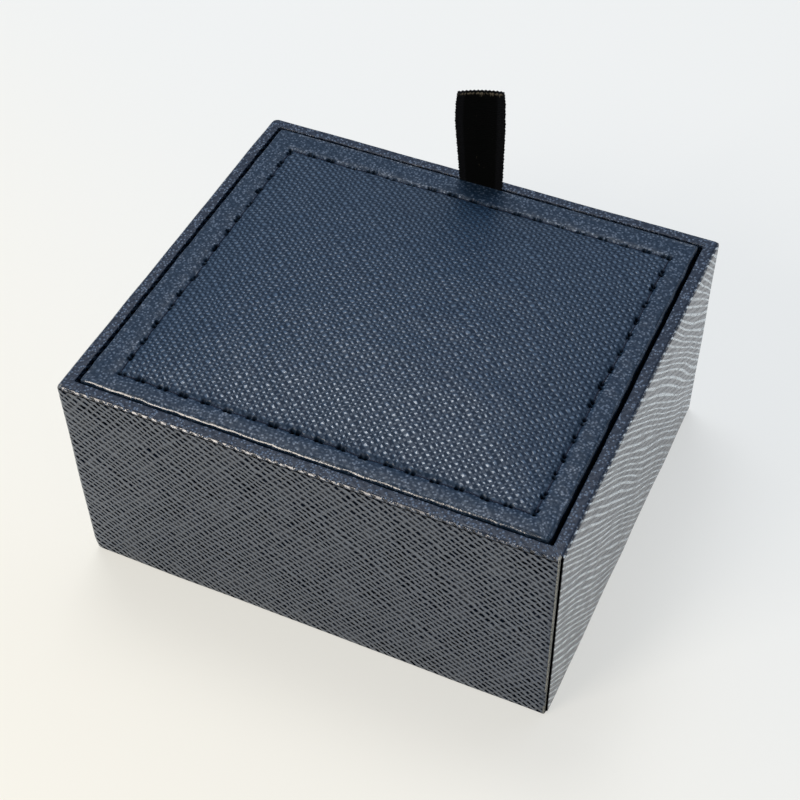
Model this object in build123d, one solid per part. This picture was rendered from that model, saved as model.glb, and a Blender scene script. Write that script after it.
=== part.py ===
from build123d import *
import os

# A cufflink display box: a board box wrapped in cross-grained leatherette, with a padded lid let into
# its rim, a cloth hinge in the front gap, a ribbon pull at the back and a slotted velvet pad inside.
# Millimetres. The origin is the middle of the base, X runs along the hinge, +Y points to the ribbon
# and +Z up.

# The box, closed
box_width = 82.0
box_depth = 72.0
box_height = 40.0  # from the table to the rim
corner_radius = 0.9  # upright corners
seam_corner_radius = 0.7  # the one upright corner where the wrapping ends
rim_round_outside = 0.4
rim_round_inside = 0.2

# What the box is made of
wrap_thickness = 0.4  # leatherette with its glue
wrap_turned_under = 8.0  # how far it reaches under the base
wrap_turned_in = 12.0  # how far it reaches down inside the rim
wrap_seam_gap = 0.4  # open slit beside its cut edge
wrap_seam_depth = 0.25
wall_board_thickness = 1.3
base_board_thickness = 2.0
bottom_cover_thickness = 0.3
bottom_cover_inset = 1.5

# Liners that stand inside the walls, whose tops are the ledge under the lid
ledge_drop = 4.0  # from the rim down to the ledge
liner_board_thickness = 1.5
velvet_thickness = 0.4

# The lid
lid_gap = 0.8  # between lid and rim, all round
lid_rest_gap = 0.1  # between lid and ledge
lid_corner_radius = 0.8
lid_edge_round = 0.4
lid_board_thickness = 2.0
lid_foam_edge = 1.2  # foam at the border
lid_cover_thickness = 0.5
lid_cover_turned_in = 6.0
pillow_crown = 2.8  # height of the pad's middle above its border
pillow_edge_rise = 0.4  # height of the pad's ends above its border
pillow_fullness = 0.8  # share of the crown reached halfway out from the middle

# The sewn channel round the pad
seam_inset_side = 4.0  # from the lid's left and right edges
seam_inset_end = 3.2  # from its hinge and ribbon edges
channel_width = 1.0
channel_depth = 0.5
stitch_pitch = 3.8
stitch_length = 2.8
stitch_width = 0.55
thread_height = 0.3

# The card under the lid
lining_card_thickness = 1.0
lining_gap = 0.6  # between the card and the liners

# The cloth hinge
tape_length = 68.0
tape_thickness = 0.25
tape_fold_radius = 0.25
tape_wall_clearance = 0.4  # from the tape on the wall up to the fold
hinge_height = 0.0  # of the fold's axis above the rim

# The ribbon
ribbon_width = 7.7
ribbon_layer = 0.22
ribbon_rise = 19.2  # of the loop's top above the rim
ribbon_glued = 7.0  # how much of it is glued under the lid
ribbon_slot_clearance = 0.2
ribbon_root_height = 0.6  # of the bend where the loop leaves the gap, above the rim
ribbon_root_clearance = 0.15
ribbon_top_spread = 0.5  # inside the loop, at its fold

# The insert
insert_gap = 0.5  # between the insert and the liners
insert_board_thickness = 1.5
insert_foam_thickness = 5.0
insert_edge_round = 1.5
insert_corner_radius = 1.2
toggle_room = 14.5  # height free under the insert for the toggles
riser_thickness = 2.0
riser_inset = 2.0  # from the insert's edge
slot_width = 5.5
slot_length = 20.0
slot_corner_radius = 0.6
slot_spacing = 34.0

# Levels and half sizes that follow
half_width = box_width / 2
half_depth = box_depth / 2
wall_thickness = wall_board_thickness + 2 * wrap_thickness
wall_bottom = bottom_cover_thickness + wrap_thickness
wall_top = box_height - wrap_thickness
floor_top = wall_bottom + base_board_thickness
ledge_top = box_height - ledge_drop
well_width = box_width - 2 * wall_thickness
well_depth = box_depth - 2 * wall_thickness
liner_thickness = liner_board_thickness + velvet_thickness
bay_width = well_width - 2 * liner_thickness
bay_depth = well_depth - 2 * liner_thickness

lid_width = well_width - 2 * lid_gap
lid_depth = well_depth - 2 * lid_gap
lid_bottom = ledge_top + lid_rest_gap
lid_board_bottom = lid_bottom + lid_cover_thickness
lid_board_top = lid_board_bottom + lid_board_thickness
foam_border_top = lid_board_top + lid_foam_edge
border_top = foam_border_top + lid_cover_thickness
channel_floor = border_top - channel_depth
seam_half_width = lid_width / 2 - seam_inset_side
seam_half_depth = lid_depth / 2 - seam_inset_end

hinge_y = -well_depth / 2 + lid_gap / 2
hinge_z = box_height + hinge_height

ribbon_thickness = 2 * ribbon_layer
ribbon_y = lid_depth / 2 + ribbon_thickness / 2
ribbon_root_z = box_height + ribbon_root_height
ribbon_top_z = box_height + ribbon_rise

insert_width = bay_width - 2 * insert_gap
insert_depth = bay_depth - 2 * insert_gap
insert_bottom = floor_top + toggle_room
insert_foam_bottom = insert_bottom + insert_board_thickness
insert_foam_top = insert_foam_bottom + insert_foam_thickness
insert_top = insert_foam_top + velvet_thickness

nodes = {}


def block(width, depth, bottom, top, radius=0.0):
    """An upright block on the middle axis, with its four upright edges rounded."""
    outline = RectangleRounded(width, depth, radius) if radius else Rectangle(width, depth)
    return extrude(Plane.XY.offset(bottom) * outline, top - bottom)


def slab(x_range, y_range, z_range):
    """A plain box between two values on each axis."""
    sizes = [high - low for low, high in (x_range, y_range, z_range)]
    middle = [(low + high) / 2 for low, high in (x_range, y_range, z_range)]
    return Pos(*middle) * Box(*sizes)


def wrapped_block(inset, bottom, top):
    """The box's outside shape drawn in by inset, with its one sharper upright corner."""
    body = block(box_width - 2 * inset, box_depth - 2 * inset, bottom, top)
    upright = body.edges().filter_by(Axis.Z)
    seam_edge = upright.sort_by(lambda edge: edge.center().X - edge.center().Y)[-1]
    others = [edge for edge in upright if (edge.center() - seam_edge.center()).length > wall_thickness]
    body = fillet(others, corner_radius - inset)
    upright = body.edges().filter_by(Axis.Z)
    seam_edge = upright.sort_by(lambda edge: edge.center().X - edge.center().Y)[-1]
    return fillet(seam_edge, seam_corner_radius - inset)


def top_face(body):
    return body.faces().sort_by(Axis.Z)[-1]


# ---- The box ----------------------------------------------------------------------------------------


def build_base():
    nodes["base_board"] = block(
        box_width - 2 * (wrap_thickness + wall_board_thickness),
        box_depth - 2 * (wrap_thickness + wall_board_thickness),
        wall_bottom,
        floor_top,
    )
    nodes["bottom_cover"] = block(
        box_width - 2 * bottom_cover_inset,
        box_depth - 2 * bottom_cover_inset,
        0,
        bottom_cover_thickness,
    )


def build_walls():
    """Four boards round the base board. The front and back ones cover the ends of the side ones."""
    core = wrapped_block(wrap_thickness, wall_bottom, wall_top)
    heights = (wall_bottom, wall_top)
    outer_x = half_width - wrap_thickness
    outer_y = half_depth - wrap_thickness
    inner_x = outer_x - wall_board_thickness
    inner_y = outer_y - wall_board_thickness
    across = (-outer_x, outer_x)
    along = (-inner_y, inner_y)
    nodes["wall_board_front"] = core & slab(across, (-outer_y, -inner_y), heights)
    nodes["wall_board_back"] = core & slab(across, (inner_y, outer_y), heights)
    nodes["wall_board_left"] = core & slab((-outer_x, -inner_x), along, heights)
    nodes["wall_board_right"] = core & slab((inner_x, outer_x), along, heights)


def build_outer_wrap():
    """One strip of leatherette round the walls, turned over the rim and under the base."""
    skin = wrapped_block(0, bottom_cover_thickness, box_height)
    skin = fillet(top_face(skin).edges(), rim_round_outside)
    skin -= wrapped_block(wrap_thickness, wall_bottom, wall_top)
    skin -= block(well_width, well_depth, ledge_top, box_height + wrap_thickness)
    skin = fillet(top_face(skin).inner_wires()[0].edges(), rim_round_inside)
    skin -= block(box_width - 2 * wrap_turned_under, box_depth - 2 * wrap_turned_under, 0, wall_bottom)
    turned_in = block(
        well_width + 2 * wrap_thickness, well_depth + 2 * wrap_thickness, box_height - wrap_turned_in, wall_top
    )
    turned_in -= block(well_width, well_depth, box_height - wrap_turned_in, wall_top)
    cut_edge_y = -half_depth + wrap_thickness
    slit = slab(
        (half_width - wrap_seam_depth, half_width),
        (cut_edge_y, cut_edge_y + wrap_seam_gap),
        (wall_bottom, wall_top),
    )
    nodes["outer_wrap"] = skin + turned_in - slit


def build_liners():
    """Boards inside the walls. The front and back ones cover the ends of the side ones."""
    heights = (floor_top, ledge_top - velvet_thickness)
    outer_x = well_width / 2
    outer_y = well_depth / 2
    inner_x = outer_x - liner_board_thickness
    inner_y = outer_y - liner_board_thickness
    across = (-outer_x, outer_x)
    along = (-inner_y, inner_y)
    nodes["liner_board_front"] = slab(across, (-outer_y, -inner_y), heights)
    nodes["liner_board_back"] = slab(across, (inner_y, outer_y), heights)
    nodes["liner_board_left"] = slab((-outer_x, -inner_x), along, heights)
    nodes["liner_board_right"] = slab((inner_x, outer_x), along, heights)
    velvet = block(well_width, well_depth, heights[1], ledge_top)
    velvet += block(2 * inner_x, 2 * inner_y, floor_top, ledge_top)
    nodes["liner_velvet"] = velvet - block(bay_width, bay_depth, floor_top, ledge_top)


def insert_slots(bottom, top):
    """The two slots that the cufflinks' toggles drop through, as solids to cut away."""
    slot = block(slot_width, slot_length, bottom, top, slot_corner_radius)
    return [Pos(side * slot_spacing / 2, 0, 0) * slot for side in (-1, 1)]


def build_insert():
    """A velvet-covered foam pad on a card, carried on two risers over the floor."""
    core_width = insert_width - 2 * velvet_thickness
    core_depth = insert_depth - 2 * velvet_thickness
    core_radius = insert_corner_radius - velvet_thickness
    core_edge_round = insert_edge_round - velvet_thickness
    slots = insert_slots(insert_bottom, insert_top)
    board = block(core_width, core_depth, insert_bottom, insert_foam_bottom, core_radius)
    foam = block(core_width, core_depth, insert_foam_bottom, insert_foam_top, core_radius)
    foam = fillet(top_face(foam).edges(), core_edge_round)
    cover = block(insert_width, insert_depth, insert_bottom, insert_top, insert_corner_radius)
    cover = fillet(top_face(cover).edges(), insert_edge_round)
    nodes["insert_board"] = board - slots
    nodes["insert_foam"] = foam - slots
    nodes["insert_cover"] = cover - board - foam - slots
    for name, side in (("left", -1), ("right", 1)):
        middle_x = side * (core_width / 2 - riser_inset - riser_thickness / 2)
        nodes["insert_riser_" + name] = slab(
            (middle_x - riser_thickness / 2, middle_x + riser_thickness / 2),
            (-core_depth / 2, core_depth / 2),
            (floor_top, insert_bottom),
        )


def build_hinge_tape():
    """Cloth folded in the front gap: one leaf is glued to the wall, the other to the lid's edge."""
    reach = (-tape_length / 2, tape_length / 2)
    wall_y = -well_depth / 2
    lid_y = -lid_depth / 2
    nodes["hinge_tape_wall"] = slab(
        reach, (wall_y, wall_y + tape_thickness), (ledge_top, hinge_z - tape_wall_clearance)
    )
    leaf = slab(reach, (lid_y - tape_thickness, lid_y), (lid_bottom, hinge_z))
    fold = Pos(0, hinge_y, hinge_z) * Rot(0, 90, 0) * Cylinder(tape_fold_radius, tape_length)
    nodes["hinge_tape_lid"] = leaf + fold


# ---- The lid ----------------------------------------------------------------------------------------


def pillow(half_x, half_y, foot, border):
    """The pad's crown: arcs across the lid, low at both ends and highest in the middle."""
    steps = (
        (-half_y, pillow_edge_rise),
        (-half_y / 2, pillow_crown * pillow_fullness),
        (0, pillow_crown),
        (half_y / 2, pillow_crown * pillow_fullness),
        (half_y, pillow_edge_rise),
    )
    sections = []
    for y, rise in steps:
        left_foot, right_foot = Vector(-half_x, y, foot), Vector(half_x, y, foot)
        left, right = Vector(-half_x, y, border), Vector(half_x, y, border)
        outline = [
            Line(left_foot, right_foot),
            Line(right_foot, right),
            ThreePointArc(right, Vector(0, y, border + rise), left),
            Line(left, left_foot),
        ]
        sections.append(make_face(outline))
    return loft(sections)


def channel(width, floor, top):
    """The ring that the seam draws down round the pad, as a solid to cut away."""
    outer = block(2 * seam_half_width + width, 2 * seam_half_depth + width, floor, top)
    return outer - block(2 * seam_half_width - width, 2 * seam_half_depth - width, floor, top)


def padded_top(inset, bottom, border, seam_width):
    """A lid-shaped slab with the sewn channel and the pillow inside it."""
    body = block(
        lid_width - 2 * inset, lid_depth - 2 * inset, bottom, border, lid_corner_radius - inset
    )
    if inset == 0:
        body = fillet(top_face(body).edges(), lid_edge_round)
    body -= channel(seam_width, border - channel_depth, border)
    pad_half_x = seam_half_width - seam_width / 2
    pad_half_y = seam_half_depth - seam_width / 2
    return body + pillow(pad_half_x, pad_half_y, border - channel_depth, border)


def build_lid():
    """Board, foam and leatherette cover, with the cover's edge turned in under the board."""
    board = block(
        lid_width - 2 * lid_cover_thickness,
        lid_depth - 2 * lid_cover_thickness,
        lid_board_bottom,
        lid_board_top,
        lid_corner_radius - lid_cover_thickness,
    )
    foam_seam_width = channel_width + 2 * lid_cover_thickness
    foam = padded_top(lid_cover_thickness, lid_board_top, foam_border_top, foam_seam_width)
    cover = padded_top(0, lid_bottom, border_top, channel_width)
    cover -= board
    cover -= foam
    cover -= block(
        lid_width - 2 * lid_cover_turned_in, lid_depth - 2 * lid_cover_turned_in, lid_bottom, lid_board_bottom
    )
    notch_half = ribbon_width / 2 + ribbon_slot_clearance
    cover -= slab(
        (-notch_half, notch_half),
        (lid_depth / 2 - lid_cover_turned_in, lid_depth / 2),
        (lid_bottom, lid_board_bottom),
    )
    nodes["lid_board"] = board
    nodes["lid_foam"] = foam
    nodes["lid_cover"] = cover


def stitch_row(length, turned, middle):
    """A row of stitches, evenly spaced, each lying on the channel's floor."""
    outline = SlotOverall(stitch_length, stitch_width, rotation=turned)
    stitch = extrude(Plane.XY.offset(channel_floor) * outline, thread_height)
    count = round(length / stitch_pitch)
    row = []
    for place in range(count):
        along = (place + 0.5 - count / 2) * stitch_pitch
        shift = Pos(0, along, 0) if turned else Pos(along, 0, 0)
        row.append(Pos(*middle, 0) * shift * stitch)
    return row


def build_stitching():
    stitches = []
    for side in (-1, 1):
        stitches += stitch_row(2 * seam_half_width, 0, (0, side * seam_half_depth))
        stitches += stitch_row(2 * seam_half_depth, 90, (side * seam_half_width, 0))
    print("stitches:", len(stitches))
    nodes["lid_stitching"] = Compound(children=stitches)


def build_lid_lining():
    """A velvet-faced card glued under the lid, which drops between the liners."""
    width = bay_width - 2 * lining_gap
    depth = bay_depth - 2 * lining_gap
    card_bottom = lid_bottom - lining_card_thickness
    card = block(
        width - 2 * velvet_thickness, depth - 2 * velvet_thickness, card_bottom, lid_bottom
    )
    nodes["lid_lining_card"] = card
    nodes["lid_lining_velvet"] = block(width, depth, card_bottom - velvet_thickness, lid_bottom) - card


# ---- The ribbon -------------------------------------------------------------------------------------


def build_ribbon():
    """A doubled ribbon, glued under the lid's back edge and standing up from the gap as a loop."""
    reach = (-ribbon_width / 2, ribbon_width / 2)
    edge_y = lid_depth / 2
    root_radius = ribbon_thickness / 2
    under = slab(
        reach,
        (edge_y - ribbon_glued, edge_y + ribbon_thickness),
        (lid_board_bottom - ribbon_thickness, lid_board_bottom),
    )
    behind = slab(
        reach,
        (edge_y, edge_y + ribbon_thickness),
        (lid_board_bottom - ribbon_thickness, ribbon_root_z - root_radius - ribbon_root_clearance),
    )
    nodes["ribbon_anchor"] = under + behind

    fold_radius = ribbon_top_spread / 2 + ribbon_layer
    fold_z = ribbon_top_z - fold_radius
    outside = loop_outline(root_radius, fold_radius, fold_z)
    inside = loop_outline(root_radius - ribbon_layer * 0.9, fold_radius - ribbon_layer, fold_z)
    loop = extrude(outside, ribbon_width / 2, both=True) - extrude(inside, ribbon_width / 2, both=True)
    nodes["pull_ribbon"] = loop


def loop_outline(root_radius, fold_radius, fold_z):
    """The loop seen from its edge: a round root, two straight flanks and a round fold at the top."""
    flank_left = Line((-root_radius, 0), (-fold_radius, fold_z - ribbon_root_z))
    flank_right = Line((root_radius, 0), (fold_radius, fold_z - ribbon_root_z))
    fold = ThreePointArc(flank_left @ 1, (0, fold_z - ribbon_root_z + fold_radius), flank_right @ 1)
    root = ThreePointArc(flank_right @ 0, (0, -root_radius), flank_left @ 0)
    plane = Plane(origin=(0, ribbon_y, ribbon_root_z), x_dir=(0, 1, 0), z_dir=(1, 0, 0))
    return plane * make_face([flank_left, fold, flank_right, root])


build_base()
build_walls()
build_outer_wrap()
build_liners()
build_insert()
build_hinge_tape()
build_lid()
build_stitching()
build_lid_lining()
build_ribbon()

os.makedirs("parts", exist_ok=True)
for name, shape in nodes.items():
    export_step(shape, f"parts/{name}.step")
print("nodes:", len(nodes))
print("lid hinge axis at y", round(hinge_y, 3), "z", round(hinge_z, 3))
print("ribbon bend axis at y", round(ribbon_y, 3), "z", round(ribbon_root_z, 3))
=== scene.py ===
# %% [markdown]
# # A cufflink display box, wrapped in leatherette
#
# The object is a small board box. A strip of navy leatherette goes round its walls and over its rim, and a
# padded lid with a line of stitches lies inside the rim. A black ribbon stands up from the back gap to
# lift it. Inside is a velvet pad with two slots.
#
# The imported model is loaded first. It gives every board its place, and whatever is made here is fitted to
# it, so nothing has to be moved afterwards.

# %% Load the frame
import math

import bmesh
import bpy
import numpy as np
from mathutils import Matrix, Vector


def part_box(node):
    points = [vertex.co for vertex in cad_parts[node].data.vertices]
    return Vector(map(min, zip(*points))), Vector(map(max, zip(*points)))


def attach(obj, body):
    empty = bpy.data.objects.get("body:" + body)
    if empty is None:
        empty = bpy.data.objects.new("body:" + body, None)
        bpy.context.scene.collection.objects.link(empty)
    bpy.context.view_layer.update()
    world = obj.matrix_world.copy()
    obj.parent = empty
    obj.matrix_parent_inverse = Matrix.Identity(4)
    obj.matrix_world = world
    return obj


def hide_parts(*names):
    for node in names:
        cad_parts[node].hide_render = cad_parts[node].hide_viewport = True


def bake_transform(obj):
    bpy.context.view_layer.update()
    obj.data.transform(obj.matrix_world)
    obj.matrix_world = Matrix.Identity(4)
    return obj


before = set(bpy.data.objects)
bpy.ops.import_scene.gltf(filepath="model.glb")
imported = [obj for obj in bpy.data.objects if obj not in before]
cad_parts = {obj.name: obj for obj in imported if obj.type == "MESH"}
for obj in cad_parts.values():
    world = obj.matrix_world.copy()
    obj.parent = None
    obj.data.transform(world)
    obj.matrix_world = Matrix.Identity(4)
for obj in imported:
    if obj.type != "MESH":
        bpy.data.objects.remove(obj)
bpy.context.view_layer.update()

# %% [markdown]
# ## Sizes
#
# Blender works in metres, but a box maker thinks in millimetres, so every size below is in millimetres and
# is turned to metres in one place, where a mesh is made. The sizes come from the solids themselves.

# %% Sizes from the solids
MM = 0.001


def node_box(name):
    """The lowest and highest corner of a solid, in millimetres."""
    low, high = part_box(name)
    return np.array(low) / MM, np.array(high) / MM


HALF_WIDTH, HALF_DEPTH, RIM = node_box("outer_wrap")[1]
LID_LOW, LID_HIGH = node_box("lid_cover")
WALL = HALF_WIDTH - node_box("liner_velvet")[1][0]
WRAP = HALF_WIDTH - node_box("wall_board_right")[1][0]
LEDGE = node_box("liner_velvet")[1][2]
print(f"box {2 * HALF_WIDTH:.1f} x {2 * HALF_DEPTH:.1f} x {RIM:.1f}, wall {WALL:.2f}, skin {WRAP:.2f}")

# %% [markdown]
# ## The view
#
# The camera was found by fitting the nine edges of the box that show. It looks down at about 50 degrees
# from the front right. The picture's centre isn't on the lens's axis, so the frame is shifted a little.

# %% Camera
lens = bpy.data.cameras.new("view")
lens.lens, lens.sensor_width = 73.341, 36.0
lens.shift_x, lens.shift_y = 0.0125, 0.1
lens.clip_start, lens.clip_end = 0.01, 20.0
camera = bpy.data.objects.new("view", lens)
camera.matrix_world = Matrix((
    (0.907545, -0.310896, 0.282323, 0.0792623),
    (0.419660, 0.696575, -0.581952, -0.1684582),
    (-0.015733, 0.646627, 0.762644, 0.2184363),
    (0.0, 0.0, 0.0, 1.0),
))
bpy.context.scene.collection.objects.link(camera)
bpy.context.scene.camera = camera
bpy.context.scene.view_settings.view_transform = "Standard"
print("camera at", [round(value, 3) for value in camera.location])

# %% [markdown]
# ## Small tools for materials
#
# Colours are chosen as on a paint card, in sRGB, but a shader takes linear light, so one function turns
# them. A material is a graph of nodes. One function adds a node, sets it and links it. Short ones for noise,
# sums, colours and the surface itself keep each material readable as a list of steps.

# %% Colour and node helpers
def shade(code):
    """An sRGB hex colour as the linear colour that a shader takes."""
    parts = [int(code[i : i + 2], 16) / 255 for i in (1, 3, 5)]
    return [c / 12.92 if c <= 0.04045 else ((c + 0.055) / 1.055) ** 2.4 for c in parts] + [1.0]


def add(tree, kind, *values, named=None, **settings):
    """Adds a node. Values go to its open inputs in turn: a node or socket is linked, a number is set."""
    node = tree.nodes.new("ShaderNode" + kind)
    for name, value in settings.items():
        setattr(node, name, value)
    places = list(zip([s for s in node.inputs if s.enabled], values))
    places += [(node.inputs[name], value) for name, value in (named or {}).items()]
    for place, value in places:
        if isinstance(value, bpy.types.Node):
            value = next(s for s in value.outputs if s.enabled)
        if isinstance(value, bpy.types.NodeSocket):
            tree.links.new(value, place)
        elif value is not None:
            place.default_value = value
    return node


def maths(tree, operation, *values, clamp=False):
    """A maths node, by the name of its operation."""
    return add(tree, "Math", *values, operation=operation, use_clamp=clamp)


def noise(tree, place, per_length, detail):
    """Smooth noise at a place, by its number of waves in a unit of length."""
    return add(tree, "TexNoise", place, per_length, detail)


def fit(tree, value, low, high, start=0.0, end=1.0, soft=False):
    """Spreads low to high over start to end, and stays at the ends beyond them."""
    curve = "SMOOTHSTEP" if soft else "LINEAR"
    return add(tree, "MapRange", value, low, high, start, end, interpolation_type=curve)


def along(tree, place, way):
    """How far a place lies in a direction."""
    return add(tree, "VectorMath", place, way, operation="DOT_PRODUCT").outputs["Value"]


def tint(tree, share, ground, code):
    """Mixes a share of an sRGB colour into a ground, which is a node or another code."""
    ground = shade(ground) if isinstance(ground, str) else ground
    return add(tree, "Mix", share, ground, shade(code), data_type="RGBA")


def new_material(name):
    """An empty material and its node tree."""
    material = bpy.data.materials.new(name)
    material.use_nodes = True
    material.node_tree.nodes.clear()
    return material, material.node_tree


def coat(material, shader):
    """Joins a shader to a material's output, and hands the material back."""
    tree = material.node_tree
    tree.links.new(shader.outputs[0], add(tree, "OutputMaterial").inputs["Surface"])
    return material


def surface(material, colour, roughness, shine, height, strength, depth, **more):
    """Gives a material its surface. The bump's depth is in millimetres. Hands the material back."""
    tree = material.node_tree
    bump = add(tree, "Bump", strength, depth * MM, named={"Height": height})
    named = {"Base Color": colour, "Roughness": roughness, "Specular IOR Level": shine, "Normal": bump}
    named.update({name.replace("_", " "): value for name, value in more.items()})
    return coat(material, add(tree, "BsdfPrincipled", named=named))


# %% [markdown]
# ## Floor and light
#
# The box stands on a plain white sheet under a large soft sky, as on a table by a window. The sky is cool
# overhead and behind, and warmer and dimmer in front, where the room is. Soft lamps add the small bright
# points: one above and behind, a weak wide one at the back on the right, and one low in front on the left,
# which draws the light line along the front edges. The floor shows itself to the camera partly by its own
# white, so its shadow stays pale.

# %% Floor
FLOOR_GLOW = 0.67  # the share of its own white in what the camera sees of the floor


def build_floor():
    """A pale sheet, wide enough that its far edge is never near the box."""
    mesh = bpy.data.meshes.new("floor")
    mesh.from_pydata([(-3, -3, 0), (3, -3, 0), (3, 3, 0), (-3, 3, 0)], [], [(0, 1, 2, 3)])
    floor = bpy.data.objects.new("floor", mesh)
    bpy.context.scene.collection.objects.link(floor)
    material, tree = new_material("matt_white_paper")
    # the sheet is painted a little creamier towards the front left: a painted pool of warm lamp light
    place = add(tree, "TexCoord").outputs["Object"]
    place = along(tree, place, (-0.45, -0.89, 0.0))
    front = fit(tree, place, -0.06, 0.11, soft=True)
    tone = tint(tree, front, "#ECEDEC", "#F5F1E6")
    paper, glow = add(tree, "BsdfDiffuse", tone), add(tree, "Emission", tone, 1.0)
    rays = add(tree, "LightPath")
    seen = maths(tree, "MAXIMUM", rays.outputs["Is Camera Ray"], rays.outputs["Is Glossy Ray"])
    own_white = maths(tree, "MULTIPLY", seen, FLOOR_GLOW)
    mesh.materials.append(coat(material, add(tree, "MixShader", own_white, paper, glow)))


build_floor()

# %% Sky and lamps
def build_sky():
    """A soft sky that depends only on the direction in the room."""
    world = bpy.data.worlds.new("studio")
    bpy.context.scene.world = world
    world.use_nodes = True
    tree = world.node_tree
    tree.nodes.clear()
    way = add(tree, "TexCoord").outputs["Generated"]
    place = add(tree, "SeparateXYZ", way)
    height = fit(tree, place.outputs["Z"], 0.25, 0.65, soft=True)
    window = along(tree, way, (-0.55, 0.83, 0.0))
    behind = fit(tree, window, -0.2, 0.5, soft=True)
    low = add(tree, "Mix", behind, (0.10, 0.10, 0.10, 1), (0.40, 0.43, 0.46, 1), data_type="RGBA")
    high = add(tree, "Mix", behind, (0.30, 0.33, 0.34, 1), (0.58, 0.73, 0.98, 1), data_type="RGBA")
    sky = add(tree, "Mix", height, low, high, data_type="RGBA")
    rays = add(tree, "LightPath")
    seen = add(tree, "Mix", rays.outputs["Is Camera Ray"], sky, shade("#EEEFEE"), data_type="RGBA")
    glow = add(tree, "Background", seen, 1.0)
    tree.links.new(glow.outputs[0], add(tree, "OutputWorld").inputs["Surface"])


def add_lamp(name, azimuth, elevation, distance, size, power, colour):
    """A square soft lamp that faces the box. Azimuth 0 is in front and 90 on the right."""
    data = bpy.data.lights.new(name, "AREA")
    data.shape, data.size, data.energy, data.color = "SQUARE", size, power, shade(colour)[:3]
    lamp = bpy.data.objects.new(name, data)
    a, e = math.radians(azimuth), math.radians(elevation)
    lamp.location = [
        distance * math.sin(a) * math.cos(e),
        -distance * math.cos(a) * math.cos(e),
        distance * math.sin(e) + 0.03,
    ]
    lamp.rotation_euler = (math.pi / 2 - e, 0.0, a)
    bpy.context.scene.collection.objects.link(lamp)


build_sky()
add_lamp("lamp_above", 218, 69, 0.9, 0.36, 4.2, "#FAF9F6")
add_lamp("lamp_back", 155, 50, 1.1, 0.6, 0.8, "#EAF2FF")
add_lamp("lamp_front", -29, 33, 1.0, 0.34, 5.0, "#FFF4E6")

# %% [markdown]
# ## Making a piece
#
# Every soft piece here is a net of points, like cloth: rows and columns of points with four-cornered faces
# between them. A piece also needs to know where each point lies on the flat material before it was wrapped,
# so that the grain runs over a fold without a break. That is its UV map, kept here in millimetres and
# called grain.

# %% Piece helpers
def net_corners(rows, columns, round_rows=False, round_columns=False):
    """The four corners of each face of a net, as row and column numbers."""
    i = np.arange(rows if round_rows else rows - 1)
    j = np.arange(columns if round_columns else columns - 1)
    i, j = (part.ravel() for part in np.meshgrid(i, j, indexing="ij"))
    return np.stack([i, j, i, j + 1, i + 1, j + 1, i + 1, j], 1).reshape(-1, 4, 2)


def make_piece(name, material, points, faces, grain, crease=35.0):
    """A mesh piece. Points and grain are in millimetres, and grain has one place per corner of each face."""
    mesh = bpy.data.meshes.new(name)
    mesh.from_pydata((np.asarray(points, float) * MM).tolist(), [], np.asarray(faces).tolist())
    mesh.uv_layers.new(name="grain").data.foreach_set("uv", np.asarray(grain, float).ravel())
    mesh.shade_smooth()
    mesh.set_sharp_from_angle(angle=math.radians(crease))
    mesh.materials.append(material)
    piece = bpy.data.objects.new(name, mesh)
    bpy.context.scene.collection.objects.link(piece)
    print(f"{name}: {len(mesh.vertices)} points, {len(mesh.polygons)} faces")
    return piece


def make_net(name, material, points, grain, round_rows=False):
    """A piece from a net whose rows are rings. Where a net closes, its grain has one more row or column."""
    rows, columns = points.shape[:2]
    corners = net_corners(rows, columns, round_rows, True)
    faces = (corners[..., 0] % rows) * columns + corners[..., 1] % columns
    return make_piece(name, material, points.reshape(-1, 3), faces, grain[corners[..., 0], corners[..., 1]])


def run_length(line, closed=False):
    """How far along a line each of its points lies. A closed line comes back to its first point."""
    line = np.vstack([line, line[:1]]) if closed else line
    return np.concatenate([[0.0], np.cumsum(np.linalg.norm(np.diff(line, axis=0), axis=1))])


def settle(piece, body, slot, *stands_for):
    """Turns the faces outwards, says what a piece rides on and hides the solids it stands for. slot, the
    finish, is not used.
    """
    shape = bmesh.new()
    shape.from_mesh(piece.data)
    bmesh.ops.recalc_face_normals(shape, faces=shape.faces)
    shape.to_mesh(piece.data)
    shape.free()
    if body:
        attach(piece, body)
    if stands_for:
        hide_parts(*stands_for)


# %% [markdown]
# A box is a rounded rectangle seen from above, at every height and at every inset. One function gives its
# outline with corners of any radius, always with the same number of points, so that outlines at different
# insets join into a net.

# %% Outline of a rounded rectangle
REACH = 2.0  # the length at each end of a side whose points go round the corner


def outline(marks, half, out, radii):
    """Points round a rectangle moved outwards by out, from the front right corner, anticlockwise.

    marks holds the places along each of the four sides, half the two half sizes, radii the corners' radii.
    """
    points = []
    for turn in range(4):
        a, b = half[1 - turn % 2], half[turn % 2] + out
        h, p = a + out, np.asarray(marks[turn], float)
        corner = np.where(p < 0, radii[turn], radii[(turn + 1) % 4])
        start = a - REACH
        straight = h - corner - start
        along = np.abs(p) * h / a
        across = np.full(len(p), b)
        near = (np.abs(p) > start) & (straight >= 0)
        s = (np.abs(p) - start) / REACH * (straight + corner * math.pi / 4)
        angle = np.where(near, np.clip((s - straight) / np.maximum(corner, 1e-6), 0, None), 0)
        if (straight >= 0).all():
            along = np.where(near, start + np.minimum(s, straight), np.abs(p))
        along = np.where(angle > 0, h - corner + corner * np.sin(angle), along)
        across = np.where(angle > 0, b - corner + corner * np.cos(angle), across)
        along = np.sign(p) * along
        c, d = math.cos(turn * math.pi / 2), math.sin(turn * math.pi / 2)
        points.append(np.stack([c * across - d * along, d * across + c * along], 1))
    return np.concatenate(points)


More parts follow.
